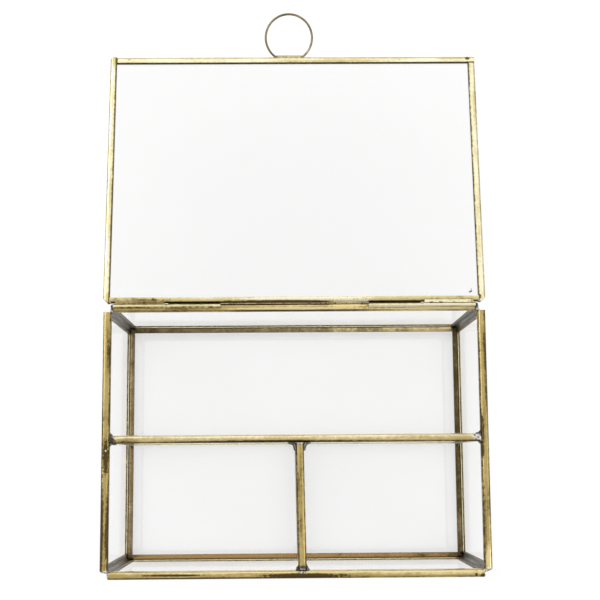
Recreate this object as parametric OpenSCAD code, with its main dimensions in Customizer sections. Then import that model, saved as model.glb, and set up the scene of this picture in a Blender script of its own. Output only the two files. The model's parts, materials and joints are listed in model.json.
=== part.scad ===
// Glass jewelry box with a hinged lid and three compartments.
// Each pane is framed on its own in folded brass strip, and the frames are soldered together.
// The walls stand round the base. The lid lies open behind the box, resting on the back wall.
// Millimetres. +X is to the right, +Y back to the hinges and +Z up. The origin is in the
// middle of the underside.

/* [Box] */
// Width over the side walls
box_w = 180; // [150:1:220]
// Depth over the front and back walls
box_d = 127; // [110:1:160]
// Height to the rim
box_h = 70; // [50:1:90]

/* [Panes] */
// Thickness of the glass
glass_t = 3; // [2:0.1:4]
// Room between a pane and each flange
glass_slip = 0.03; // [0.01:0.01:0.1]
// Ground arris on the edges of a pane
arris = 0.2; // [0.05:0.05:0.5]

/* [Brass channel] */
// Thickness of the strip
strip_t = 0.35; // [0.25:0.05:0.5]
// Outside radius of its folds, which make its back nearly round
fold_r = 1.5; // [0.8:0.05:1.8]
// Width of the flanges
flange_w = 3; // [2.4:0.1:4]
// Width of the flanges round the base
base_flange_w = 2.6; // [2:0.1:4]

/* [Lid] */
// How far the lid stands out past the front wall
lid_overhang = 0.6; // [0:0.1:3]
// Gap between the rim and the closed lid
lid_gap = 0.15; // [0.1:0.05:0.4]
// How far past flat the lid opens
lid_lean = 6; // [0:0.5:10]
// Gap between the open lid and the back wall
stop_gap = 0.1; // [0.05:0.05:0.5]
// Width of the lid's flanges along the hinges
lid_hinge_flange_w = 2.4; // [2:0.1:4]
// Width of the lid's flanges along its right edge
lid_right_flange_w = 3.3; // [2.4:0.1:4]
// Leg of the snip off each front corner of the lid
lid_front_snip = 1; // [0.5:0.1:2.2]
// Leg of the snip off each of its corners at the hinges
lid_hinge_snip = 2.2; // [0.5:0.1:2.2]

/* [Dividers] */
// Middle of the long divider, behind the middle of the box
long_divider_y = 0.2; // [-20:0.1:20]
// Middle of the short divider, right of the middle of the box
short_divider_x = 2.4; // [-30:0.1:30]
// Turn of the short divider
short_divider_turn = 1; // [-3:0.1:3]
// Gap at each end of the short divider
divider_gap = 0.05; // [0.02:0.01:0.2]

/* [Hinges] */
// Middle of each hinge, from the side of the box
hinge_from_side = 30; // [28:0.5:50]
// Hinge line, in front of the back wall's outer face
hinge_inset = 1.2; // [1:0.05:1.5]
// Outside radius of the knuckles
knuckle_r = 1; // [0.9:0.05:1.15]
// Length of each knuckle
knuckle_len = 25; // [12:0.5:27]
// Gap between the two knuckles of a hinge
knuckle_gap = 0.3; // [0.2:0.1:1]
// Gap between the knuckles and the rim
knuckle_lift = 0.1; // [0.05:0.05:0.2]
// Radius of the hinge pins
pin_r = 0.5; // [0.35:0.05:0.65]
// Radial play of the pins in the lid's knuckles
pin_play = 0.05; // [0.02:0.01:0.09]
// How far the pins stop short of the ends of the knuckles
pin_inset = 0.4; // [0.1:0.1:1]

/* [Pull ring] */
// Outside radius of the ring
ring_r = 12; // [10:0.25:16]
// Radius of its wire
wire_r = 0.55; // [0.4:0.01:0.6]
// Distance between the ends of its wire, which meet the foot
ring_foot = 13.5; // [8:0.5:16]
// Radius of the straight foot that closes the ring
foot_r = 0.65; // [0.62:0.01:0.9]
// Middle of the ring, from the middle of the lid
ring_x = -1.9; // [-30:0.1:30]
// Slope of the ring below the plane of the lid
ring_slope = 20; // [0:1:40]

/* [Solder] */
// Thickness of the tin on the corner flanges
tin_t = 0.12; // [0.05:0.01:0.3]
// How far the tin stops short of the edge of a flange
tin_margin = 0.1; // [0.05:0.05:0.5]
// Radius of the fillet in the inner corners
corner_fillet_r = 1.2; // [0.6:0.1:1.8]
// Leg of the beads at the dividers
bead_leg = 1.4; // [0.8:0.1:2]
// Leg of the beads along the sides of the short divider
bead_run = 2.6; // [1:0.1:4]
// How far solder stops short of the ends of what it holds
solder_inset = 1; // [0.5:0.1:3]
// Length of each run of solder under the base
base_run_len = 14; // [6:1:20]
// Width of the solder under the box's knuckles
box_solder_w = 1.8; // [1:0.1:2]
// Height of the solder beside the lid's knuckles
lid_solder_h = 1.4; // [1:0.1:1.6]
// Height of the solder behind the ring's foot
pull_solder_h = 2.2; // [1.4:0.1:3]

/* [Hidden] */

$fn = 32;
// Room by which a cut passes beyond what it cuts
past = 1;

lid_brass = "#e0cf8c";
rim_brass = "#b59a4e";
floor_brass = "#7d6340";
hinge_brass = "#d8c68a";
clear_glass = "#dfe8e6";
grey_solder = "#85827c";

// The channel that holds a pane
channel_t = glass_t + 2 * (glass_slip + strip_t);
fold_inner_r = fold_r - strip_t;

// The base and the walls: the walls are as long as the sides of the base
base_w = box_w - 2 * channel_t;
base_d = box_d - 2 * channel_t;
divider_h = box_h - channel_t;
front_room_d = base_d / 2 + long_divider_y - channel_t / 2;
short_divider_y = front_room_d / 2 - base_d / 2;
short_divider_w = (front_room_d - 2 * divider_gap - channel_t * sin(abs(short_divider_turn)))
    / cos(short_divider_turn);

// The hinge line, and the lid as far from it as its stop on the back wall needs
hinge_x = box_w / 2 - hinge_from_side;
hinge_y = box_d / 2 - hinge_inset;
hinge_z = box_h + knuckle_lift + knuckle_r;
open_angle = 180 + lid_lean;
lid_top_above_hinge = lid_gap + channel_t - knuckle_lift - knuckle_r;
lid_reach = (hinge_inset + stop_gap + lid_top_above_hinge * sin(lid_lean)) / cos(lid_lean);
lid_back = hinge_y - lid_reach;
lid_front = -box_d / 2 - lid_overhang;
lid_w = box_w;
lid_d = lid_back - lid_front;
lid_middle_z = box_h + lid_gap + channel_t / 2;
knuckle_near = knuckle_gap / 2;
knuckle_far = knuckle_gap / 2 + knuckle_len;

// The ring: an arc of wire whose ends run into a straight foot
ring_line_r = ring_r - wire_r;
ring_open_angle = 2 * asin(ring_foot / 2 / ring_line_r);
ring_middle = ring_line_r * cos(ring_open_angle / 2);

// How far the beads at the short divider start past its ends, to reach what they touch
bead_start = divider_gap + channel_t * sin(abs(short_divider_turn));

// Height of a triangle of solder that fills the groove between two folds
groove = (2 - sqrt(2)) * fold_r;

// A rectangle with rounded corners at its lower end, standing on the X axis
module folded_outline(w, h, r) {
    translate([-w / 2, r]) square([w, h - r]);
    translate([r - w / 2, 0]) square([w - 2 * r, h]);
    for (side = [-1, 1]) translate([side * (w / 2 - r), r]) circle(r);
}

// A length of channel along X, its web down and its flanges up.
// snips are the legs of the snips off its back, at its lower end and at the other.
module channel(length, flange, snips = [0, 0]) {
    difference() {
        rotate([90, 0, 90]) linear_extrude(length, center = true) difference() {
            folded_outline(channel_t, flange, fold_r);
            translate([0, strip_t])
                folded_outline(channel_t - 2 * strip_t, flange + past, fold_inner_r);
        }
        for (end = [0, 1]) if (snips[end] > 0) {
            side = sqrt(2) * snips[end];
            translate([(2 * end - 1) * length / 2, 0, 0]) rotate([0, 45, 0])
                cube([side, 2 * channel_t, side], center = true);
        }
    }
}

// One strip round a pane that stands on the X axis, w wide and h high.
// from and to are what it leaves free at its left or lower end and at the other, and snips
// are the legs of the snips there.
module strip(side, w, h, flange, from = 0, to = 0, snips = [0, 0]) {
    shift = (from - to) / 2;
    short = from + to;
    if (side == "bottom") translate([shift, 0, 0]) channel(w - short, flange, snips);
    if (side == "top")
        translate([shift, 0, h]) rotate([180, 0, 0]) channel(w - short, flange, snips);
    if (side == "left")
        translate([-w / 2, 0, h / 2 + shift]) rotate([0, 90, 0])
            channel(h - short, flange, [snips[1], snips[0]]);
    if (side == "right")
        translate([w / 2, 0, h / 2 + shift]) rotate([0, -90, 0])
            channel(h - short, flange, snips);
}

// A stile runs between the flanges of the rails below and above it
module stile(side, w, h) {
    strip(side, w, h, flange_w, flange_w, flange_w);
}

// The section of a pane, with its arris
module pane_outline(w, h) {
    polygon([
        [-w / 2 + arris, -h / 2], [w / 2 - arris, -h / 2],
        [w / 2, -h / 2 + arris], [w / 2, h / 2 - arris],
        [w / 2 - arris, h / 2], [-w / 2 + arris, h / 2],
        [-w / 2, h / 2 - arris], [-w / 2, -h / 2 + arris]
    ]);
}

// The pane for a frame that stands on the X axis, w wide and h high.
// Its square edges stop where the folds of the strip begin.
module pane(w, h) {
    glass_w = w - 2 * fold_r;
    glass_h = h - 2 * fold_r;
    translate([0, 0, h / 2]) intersection() {
        rotate([90, 0, 90]) linear_extrude(glass_w, center = true)
            pane_outline(glass_t, glass_h);
        linear_extrude(glass_h, center = true) pane_outline(glass_w, glass_t);
    }
}

// A rectangle with four rounded corners
module rounded_outline(w, h, r) {
    square([w, h - 2 * r], center = true);
    square([w - 2 * r, h], center = true);
    for (x = [-1, 1], y = [-1, 1]) translate([x * (w / 2 - r), y * (h / 2 - r)]) circle(r);
}

// A lying slab with rounded edges above and below
module rounded_slab(w, d, t, r) {
    intersection() {
        rotate([90, 0, 0]) linear_extrude(d, center = true) rounded_outline(w, t, r);
        rotate([90, 0, 90]) linear_extrude(w, center = true) rounded_outline(d, t, r);
    }
}

module tube(length, outer_r, inner_r) {
    rotate([0, 90, 0]) difference() {
        cylinder(length, r = outer_r, center = true);
        cylinder(length + 2 * past, r = inner_r, center = true);
    }
}

// Where each framed pane stands
module at_front() {
    translate([0, channel_t / 2 - box_d / 2, 0]) children();
}
module at_back() {
    translate([0, box_d / 2 - channel_t / 2, 0]) children();
}
module at_left() {
    translate([channel_t / 2 - box_w / 2, 0, 0]) rotate([0, 0, 90]) children();
}
module at_right() {
    translate([box_w / 2 - channel_t / 2, 0, 0]) rotate([0, 0, 90]) children();
}
module at_long_divider() {
    translate([0, long_divider_y, channel_t]) children();
}
module at_short_divider() {
    translate([short_divider_x, short_divider_y, channel_t])
        rotate([0, 0, 90 + short_divider_turn]) children();
}
// Turns the closed lid back about the hinge line
module opened() {
    translate([0, hinge_y, hinge_z]) rotate([-open_angle, 0, 0])
        translate([0, -hinge_y, -hinge_z]) children();
}
// The lid's pane, its lower side at the hinges
module at_lid() {
    opened() translate([0, lid_back, lid_middle_z]) rotate([90, 0, 0]) children();
}
// A place along a hinge: middle is measured outwards from the middle of the hinge
module on_hinge(side, middle) {
    translate([side * (hinge_x + middle), hinge_y, hinge_z]) children();
}

// Base
module base_glass() {
    color(clear_glass) translate([0, -base_d / 2, channel_t / 2]) rotate([-90, 0, 0])
        pane(base_w, base_d);
}
module base_channel() {
    color(floor_brass) translate([0, 0, channel_t / 2]) difference() {
        rounded_slab(base_w, base_d, channel_t, fold_r);
        rounded_slab(base_w - 2 * strip_t, base_d - 2 * strip_t, channel_t - 2 * strip_t,
            fold_inner_r);
        cube([base_w - 2 * base_flange_w, base_d - 2 * base_flange_w, 2 * channel_t],
            center = true);
    }
}

// Front wall
module front_glass() {
    color(clear_glass) at_front() pane(base_w, box_h);
}
module front_top_rail() {
    color(rim_brass) at_front() strip("top", base_w, box_h, flange_w);
}
module front_bottom_rail() {
    color(rim_brass) at_front() strip("bottom", base_w, box_h, flange_w);
}
module front_left_stile() {
    color(rim_brass) at_front() stile("left", base_w, box_h);
}
module front_right_stile() {
    color(rim_brass) at_front() stile("right", base_w, box_h);
}

// Back wall
module back_glass() {
    color(clear_glass) at_back() pane(base_w, box_h);
}
module back_top_rail() {
    color(rim_brass) at_back() strip("top", base_w, box_h, flange_w);
}
module back_bottom_rail() {
    color(rim_brass) at_back() strip("bottom", base_w, box_h, flange_w);
}
module back_left_stile() {
    color(rim_brass) at_back() stile("left", base_w, box_h);
}
module back_right_stile() {
    color(rim_brass) at_back() stile("right", base_w, box_h);
}

// Left wall
module left_glass() {
    color(clear_glass) at_left() pane(base_d, box_h);
}
module left_top_rail() {
    color(rim_brass) at_left() strip("top", base_d, box_h, flange_w);
}
module left_bottom_rail() {
    color(rim_brass) at_left() strip("bottom", base_d, box_h, flange_w);
}
module left_front_stile() {
    color(rim_brass) at_left() stile("left", base_d, box_h);
}
module left_back_stile() {
    color(rim_brass) at_left() stile("right", base_d, box_h);
}

// Right wall
module right_glass() {
    color(clear_glass) at_right() pane(base_d, box_h);
}
module right_top_rail() {
    color(rim_brass) at_right() strip("top", base_d, box_h, flange_w);
}
module right_bottom_rail() {
    color(rim_brass) at_right() strip("bottom", base_d, box_h, flange_w);
}
module right_front_stile() {
    color(rim_brass) at_right() stile("left", base_d, box_h);
}
module right_back_stile() {
    color(rim_brass) at_right() stile("right", base_d, box_h);
}

// Long divider
module long_divider_glass() {
    color(clear_glass) at_long_divider() pane(base_w, divider_h);
}
module long_divider_top_rail() {
    color(rim_brass) at_long_divider() strip("top", base_w, divider_h, flange_w);
}
module long_divider_bottom_rail() {
    color(floor_brass) at_long_divider() strip("bottom", base_w, divider_h, flange_w);
}
module long_divider_left_stile() {
    color(floor_brass) at_long_divider() stile("left", base_w, divider_h);
}
module long_divider_right_stile() {
    color(floor_brass) at_long_divider() stile("right", base_w, divider_h);
}

// Short divider
module short_divider_glass() {
    color(clear_glass) at_short_divider() pane(short_divider_w, divider_h);
}
module short_divider_top_rail() {
    color(rim_brass) at_short_divider() strip("top", short_divider_w, divider_h, flange_w);
}
module short_divider_bottom_rail() {
    color(floor_brass) at_short_divider()
        strip("bottom", short_divider_w, divider_h, flange_w);
}
module short_divider_front_stile() {
    color(floor_brass) at_short_divider() stile("left", short_divider_w, divider_h);
}
module short_divider_back_stile() {
    color(floor_brass) at_short_divider() stile("right", short_divider_w, divider_h);
}

// Tin on the flanges of an inner corner, with a fillet where they meet
module corner_outline() {
    leg = flange_w - tin_margin;
    fillet = tin_t + corner_fillet_r;
    square([leg, tin_t]);
    square([tin_t, leg]);
    difference() {
        square(fillet);
        translate([fillet, fillet]) circle(corner_fillet_r);
    }
}
// The solder also fills the groove between the folds of two stiles, and shows from outside
module corner_solder() {
    tin_h = box_h - fold_r - channel_t;
    groove_h = box_h - flange_w - channel_t;
    color(grey_solder) for (turn = [0, 1, 2, 3]) {
        x = (turn == 0 || turn == 3) ? -1 : 1;
        y = (turn < 2) ? -1 : 1;
        translate([x * base_w / 2, y * base_d / 2, channel_t]) rotate([0, 0, 90 * turn]) {
            linear_extrude(tin_h) corner_outline();
            linear_extrude(groove_h)
                polygon([[groove, 0], [0, groove], [-groove, 0], [0, -groove]]);
        }
    }
}

// A run of solder along X in the groove between two folds
module groove_run(length) {
    rotate([90, 0, 90]) linear_extrude(length, center = true)
        polygon([[-groove, 0], [groove, 0], [0, groove]]);
}
module base_solder() {
    long_step = base_w / 2 - base_run_len;
    short_step = base_d / 2 - base_run_len;
    color(grey_solder) {
        for (side = [-1, 1], place = [-1, 0, 1])
            translate([place * long_step, side * base_d / 2, 0]) groove_run(base_run_len);
        for (side = [-1, 1], place = [-1, 1])
            translate([side * base_w / 2, place * short_step, 0]) rotate([0, 0, 90])
                groove_run(base_run_len);
    }
}

// A bead with a right angle at the origin, its legs along +X and +Y
module bead(length, leg_x = bead_leg) {
    linear_extrude(length) polygon([[0, 0], [leg_x, 0], [0, bead_leg]]);
}
// The beads are upright in the corners between the rim and the ends of the dividers, and lie
// along the floor strips beside the feet of the long divider
module divider_solder() {
    rim_bead = flange_w - fold_r;
    floor_flat = base_flange_w - fold_r;
    floor_bead = floor_flat - 2 * tin_margin;
    color(grey_solder) {
        for (end = [-1, 1], side = [-1, 1])
            translate([end * base_w / 2, long_divider_y + side * channel_t / 2, box_h - flange_w])
                mirror([end > 0 ? 1 : 0, 0, 0]) mirror([0, side < 0 ? 1 : 0, 0])
                    bead(rim_bead);
        for (end = [-1, 1], side = [-1, 1])
            translate([end * ((base_w + floor_flat) / 2 - base_flange_w),
                    long_divider_y + side * channel_t / 2, channel_t])
                mirror([0, side < 0 ? 1 : 0, 0]) rotate([90, 0, 90])
                    translate([0, 0, -floor_bead / 2]) bead(floor_bead);
        // Cut off at the faces that the short divider runs up to
        intersection() {
            for (end = [-1, 1], side = [-1, 1])
                at_short_divider() translate([0, 0, divider_h - flange_w])
                    mirror([end > 0 ? 1 : 0, 0, 0]) mirror([0, side < 0 ? 1 : 0, 0])
                        translate([-short_divider_w / 2 - bead_start, channel_t / 2, 0])
                            bead(rim_bead, bead_run);
            translate([-box_w / 2, -base_d / 2, 0]) cube([box_w, front_room_d, box_h]);
        }
    }
}

// Hinges
module box_knuckle(side) {
    on_hinge(side, -(knuckle_near + knuckle_far) / 2) tube(knuckle_len, knuckle_r, pin_r);
}
module lid_knuckle(side) {
    opened() on_hinge(side, (knuckle_near + knuckle_far) / 2)
        tube(knuckle_len, knuckle_r, pin_r + pin_play);
}
module pin(side) {
    on_hinge(side, 0) rotate([0, 90, 0])
        cylinder(2 * (knuckle_far - pin_inset), r = pin_r, center = true);
}
module hinge_left_box_knuckle() {
    color(hinge_brass) box_knuckle(-1);
}
module hinge_right_box_knuckle() {
    color(hinge_brass) box_knuckle(1);
}
module hinge_left_lid_knuckle() {
    color(hinge_brass) lid_knuckle(-1);
}
module hinge_right_lid_knuckle() {
    color(hinge_brass) lid_knuckle(1);
}
module hinge_left_pin() {
    color(rim_brass) pin(-1);
}
module hinge_right_pin() {
    color(rim_brass) pin(1);
}
// Solder between the round back of the rim and the box's knuckles
module hinge_box_solder() {
    color(grey_solder) for (side = [-1, 1])
        on_hinge(side, -(knuckle_near + knuckle_far) / 2) rotate([90, 0, 90])
            linear_extrude(knuckle_len - 2 * solder_inset, center = true) difference() {
                translate([-box_solder_w / 2, -2 * knuckle_r])
                    square([box_solder_w, 3 / 2 * knuckle_r]);
                circle(knuckle_r);
                translate([hinge_inset - channel_t / 2, box_h - hinge_z]) mirror([0, 1])
                    folded_outline(channel_t, flange_w, fold_r);
            }
}
// Solder between the lid's hinge rail and its knuckles
module hinge_lid_solder() {
    color(grey_solder) for (side = [-1, 1])
        opened() on_hinge(side, (knuckle_near + knuckle_far) / 2) rotate([90, 0, 90])
            linear_extrude(knuckle_len - 2 * solder_inset, center = true) difference() {
                translate([-lid_reach - fold_r, -lid_solder_h / 2])
                    square([lid_reach + fold_r - knuckle_r / 2, lid_solder_h]);
                circle(knuckle_r);
                translate([-lid_reach, lid_middle_z - hinge_z]) rotate(90)
                    folded_outline(channel_t, 2 * fold_r, fold_r);
            }
}

// Lid
module lid_glass() {
    color(clear_glass) at_lid() pane(lid_w, lid_d);
}
module lid_hinge_rail() {
    color(lid_brass) at_lid()
        strip("bottom", lid_w, lid_d, lid_hinge_flange_w, flange_w, lid_right_flange_w);
}
module lid_front_rail() {
    color(lid_brass) at_lid()
        strip("top", lid_w, lid_d, flange_w, flange_w, 0, [0, lid_front_snip]);
}
module lid_left_rail() {
    color(lid_brass) at_lid()
        strip("left", lid_w, lid_d, flange_w, 0, 0, [lid_hinge_snip, lid_front_snip]);
}
module lid_right_rail() {
    color(lid_brass) at_lid()
        strip("right", lid_w, lid_d, lid_right_flange_w, 0, flange_w, [lid_hinge_snip, 0]);
}

// The place of the ring's foot on the lid's front edge
module at_ring_foot() {
    opened() translate([ring_x, lid_front - foot_r, lid_middle_z]) children();
}
module pull_ring() {
    color(hinge_brass) at_ring_foot() {
        rotate([0, 90, 0]) cylinder(ring_foot + 2 * foot_r, r = foot_r, center = true);
        rotate([ring_slope, 0, 0]) translate([0, -ring_middle, 0])
            rotate([0, 0, 90 + ring_open_angle / 2])
                rotate_extrude(angle = 360 - ring_open_angle, $fn = 64)
                    translate([ring_line_r, 0]) circle(wire_r, $fn = 24);
    }
}
module pull_solder() {
    color(grey_solder) at_ring_foot() rotate([90, 0, 90])
        linear_extrude(ring_foot - 2 * solder_inset, center = true) difference() {
            translate([0, -pull_solder_h / 2]) square([foot_r + fold_r, pull_solder_h]);
            circle(foot_r);
            translate([foot_r, 0]) rotate(-90) folded_outline(channel_t, 2 * fold_r, fold_r);
        }
}

base_glass();
base_channel();
front_glass();
front_top_rail();
front_bottom_rail();
front_left_stile();
front_right_stile();
back_glass();
back_top_rail();
back_bottom_rail();
back_left_stile();
back_right_stile();
left_glass();
left_top_rail();
left_bottom_rail();
left_front_stile();
left_back_stile();
right_glass();
right_top_rail();
right_bottom_rail();
right_front_stile();
right_back_stile();
long_divider_glass();
long_divider_top_rail();
long_divider_bottom_rail();
long_divider_left_stile();
long_divider_right_stile();
short_divider_glass();
short_divider_top_rail();
short_divider_bottom_rail();
short_divider_front_stile();
short_divider_back_stile();
corner_solder();
base_solder();
divider_solder();
hinge_left_box_knuckle();
hinge_right_box_knuckle();
hinge_left_pin();
hinge_right_pin();
hinge_box_solder();
lid_glass();
lid_front_rail();
lid_hinge_rail();
lid_left_rail();
lid_right_rail();
hinge_left_lid_knuckle();
hinge_right_lid_knuckle();
hinge_lid_solder();
pull_ring();
pull_solder();
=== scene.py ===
"""Looks of the glass jewelry box: its glass, brass and solder, and the stage it stands on."""

import json
import math
from typing import NamedTuple

import bmesh
import bpy
from mathutils import Matrix, Vector, noise


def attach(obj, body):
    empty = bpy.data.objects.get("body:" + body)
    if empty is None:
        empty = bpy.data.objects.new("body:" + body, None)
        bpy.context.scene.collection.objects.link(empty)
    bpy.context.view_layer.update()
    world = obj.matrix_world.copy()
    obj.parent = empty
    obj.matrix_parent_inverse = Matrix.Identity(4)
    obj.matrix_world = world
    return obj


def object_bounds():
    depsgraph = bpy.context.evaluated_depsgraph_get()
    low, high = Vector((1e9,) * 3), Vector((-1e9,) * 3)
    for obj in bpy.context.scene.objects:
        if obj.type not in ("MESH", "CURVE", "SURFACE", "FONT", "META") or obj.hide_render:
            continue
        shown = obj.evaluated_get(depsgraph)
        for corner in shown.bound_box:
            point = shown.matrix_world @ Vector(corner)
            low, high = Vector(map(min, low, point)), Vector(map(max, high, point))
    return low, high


bl_info = {
    "name": "Glass Jewelry Box",
    "version": (1, 0, 0),
    "blender": (4, 5, 0),
    "location": "View3D > Sidebar > Jewelry Box",
    "description": "Finishes the glass, brass and solder of a jewelry box and sets its stage",
    "category": "Object",
}

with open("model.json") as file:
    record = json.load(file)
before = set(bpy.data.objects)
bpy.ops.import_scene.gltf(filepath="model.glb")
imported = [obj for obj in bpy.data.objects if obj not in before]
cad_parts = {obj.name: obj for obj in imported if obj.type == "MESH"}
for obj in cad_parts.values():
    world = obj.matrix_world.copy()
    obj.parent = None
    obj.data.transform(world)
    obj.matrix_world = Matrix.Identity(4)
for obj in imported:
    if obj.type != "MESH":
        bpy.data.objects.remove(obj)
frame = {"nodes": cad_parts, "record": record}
CAD_BOUNDS = [list(corner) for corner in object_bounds()]
MM = 0.001
GLASS_IOR = 1.5
# Ranges of Layer Weight's Facing over which a pane comes to be seen edge-on, from outside the
# glass and from inside it
EDGE_ON_OUTSIDE = (0.45, 0.88)
EDGE_ON_INSIDE = (0.18, 0.25)

# Places that the looks line up with, in millimetres and degrees as the solids have them
STRIP_HALF = 1.88  # half the width of a strip
EDGE_WIDTH = 0.8  # how far in a strip's edge is darkened, partly as patina and partly as painted shade
WALL_MIDDLES = (88.12, 61.62)  # middle lines of the walls' strips, from the box's middle
MIDDLE_HEIGHT = 35.0
BASE_SIDE = 83.0  # where the base's side strips begin
BASE_FRONT = (-50.0, -40.0)  # where the looks of its front give way to those of its back
BASE_FOLD_TOP = 3.0
LONG_DIVIDER_Y = 0.2
SHORT_DIVIDER_X = 2.4
SHORT_DIVIDER_Y = -30.71
SHORT_DIVIDER_TURN = 1.0
HINGE_Y = 62.3
KNUCKLE_R = 1.0
HINGE_SOLDER_Y = 63.8
LID_LEAN = 6.0
LID_TOP = 78.13  # height of the lid's upper face, measured square to it
RING_HEIGHT = 60.0

# Strength and depth, in metres, of the unevenness of a metal's skin
BRASS_SKIN = (0.5, 0.0002)
SOLDER_SKIN = (0.6, 0.0003)
# How far the clouds, the mottling and the brushed lines of the brass swing its shine
CLOUD_REACH = 1.1
MOTTLE_REACH = 0.75
BRUSHED_REACH = 0.22
# How much the patterns are drawn out along a strip, and round the base
STRIP_STRETCH = 0.12
BASE_STRETCH = 0.3
# Shine of the strip round the base, and how fast it rises along X
BASE_FRONT_SHINE, BASE_FRONT_RISE = 0.65, -0.0045
BASE_BACK_SHINE, BASE_BACK_RISE = 0.55, 0.004
BASE_SIDE_SHINE, BASE_SIDE_RISE = 0.28, -0.0016
UPRIGHT_SHINE = 0.3
WALL_FOOT_SHINE = 0.95
OUTSIDE_LOSS = 0.6  # shine that the walls' feet lose on their outer faces


def length(name, text, default, low, high):
    return bpy.props.FloatProperty(
        name=name, description=text, default=default, min=low, max=high, subtype="DISTANCE",
        unit="LENGTH", precision=5,
    )


def share(name, text, default):
    return bpy.props.FloatProperty(
        name=name, description=text, default=default, min=0, max=1, subtype="FACTOR"
    )


def colour(name, text, default):
    return bpy.props.FloatVectorProperty(
        name=name, description=text, default=default, size=3, min=0, max=1, subtype="COLOR"
    )


class GlassLook(bpy.types.PropertyGroup):
    tint: colour("Tint", "Colour of the light that the panes let through", (0.963, 0.963, 0.962))
    lid_tint: colour(
        "Lid tint", "Colour of the light that the lid's pane lets through", (0.925, 0.927, 0.924)
    )
    smears: share("Smears", "How far wiping marks dull the panes", 0.03)
    held_back: share(
        "Held back", "How far mirror images are held back where a pane is seen edge-on", 0.88
    )


class BrassLook(bpy.types.PropertyGroup):
    # bright, pale, butter and ring_bright also colour painted highlights, wherever a strip's shine
    # runs high
    bright: colour("Bright", "Colour of clean, rubbed brass", (0.84, 0.69, 0.36))
    middle: colour("Middle", "Colour of the brass in most places", (0.50, 0.38, 0.145))
    dark: colour("Dark", "Colour of the brown patina", (0.09, 0.062, 0.02))
    bronze: colour("Bronze", "Colour of the upright strips in most places", (0.38, 0.285, 0.12))
    brown: colour("Brown", "Colour of the upright strips' patina", (0.14, 0.10, 0.045))
    pale: colour("Pale", "Colour of the lid's pale brass", (0.95, 0.90, 0.64))
    straw: colour("Straw", "Colour of the pale brass where it has yellowed", (0.73, 0.62, 0.30))
    umber: colour("Umber", "Colour of the lid's patina", (0.16, 0.11, 0.04))
    copper: colour("Copper", "Colour of the reddened brass of the base", (0.46, 0.285, 0.11))
    olive: colour("Olive", "Colour of the browned brass of the base", (0.27, 0.20, 0.10))
    butter: colour("Butter", "Colour of the long divider's rubbed rail", (0.92, 0.81, 0.52))
    honey: colour("Honey", "Colour of that rail in most places", (0.58, 0.45, 0.20))
    ring_bright: colour("Ring, bright", "Colour of the rubbed ring", (0.62, 0.54, 0.34))
    ring_middle: colour("Ring, middle", "Colour of the ring in most places", (0.27, 0.225, 0.13))
    ring_dark: colour("Ring, dark", "Colour of the ring's patina", (0.10, 0.082, 0.045))


class SolderLook(bpy.types.PropertyGroup):
    light: colour("Light", "Colour of clean solder", (0.80, 0.78, 0.74))
    dark: colour("Dark", "Colour of dull solder", (0.13, 0.12, 0.10))
    tin: colour("Tin", "Colour of the tin on the inner corners", (0.37, 0.36, 0.34))
    tin_dark: colour("Tin, dark", "Colour of the tin's dark streaks", (0.09, 0.082, 0.065))
    splash: colour("Splash", "Colour of solder that has run on a strip", (0.85, 0.82, 0.76))
    splash_dark: colour("Splash, dark", "Colour of that solder's pits", (0.07, 0.06, 0.05))
    gilt: colour("Gilt", "Colour of the solder at the ring's feet", (0.72, 0.62, 0.34))
    gilt_dark: colour("Gilt, dark", "Colour of that solder's pits", (0.2, 0.15, 0.07))
    # The bead's colours stand partly for the shade in the gap between the lid and the rim.
    bead_bright: colour("Bead, bright", "Colour of the hinges' clean solder", (0.88, 0.83, 0.62))
    bead_middle: colour("Bead, middle", "Colour of that solder in most places", (0.42, 0.31, 0.14))
    bead_dark: colour("Bead, dark", "Colour of that solder's patina", (0.09, 0.06, 0.025))
    # The seam's colours are lightened to make up for the shade it lies in.
    seam_bright: colour("Seam, bright", "Colour of the seam where it is golden", (1.0, 0.86, 0.48))
    seam_middle: colour("Seam, middle", "Colour of the seam in most places", (0.66, 0.48, 0.22))
    seam_dark: colour("Seam, dark", "Colour of the seam's patina", (0.25, 0.17, 0.08))
    grain: length("Grain", "Fineness of the solder's skin", 0.00014, 0.0001, 0.001)


class StageLook(bpy.types.PropertyGroup):
    floor: colour("Floor", "Colour of the floor", (0.45, 0.45, 0.45))
    floor_glow: share("Floor glow", "Light that the floor shows besides what falls on it", 0.6)
    floor_side: length("Floor side", "Length of the floor's sides", 60.0, 1.0, 100.0)
    floor_gap: length("Floor gap", "Gap between the floor and the box", 0.0002, 0.0, 0.002)


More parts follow.
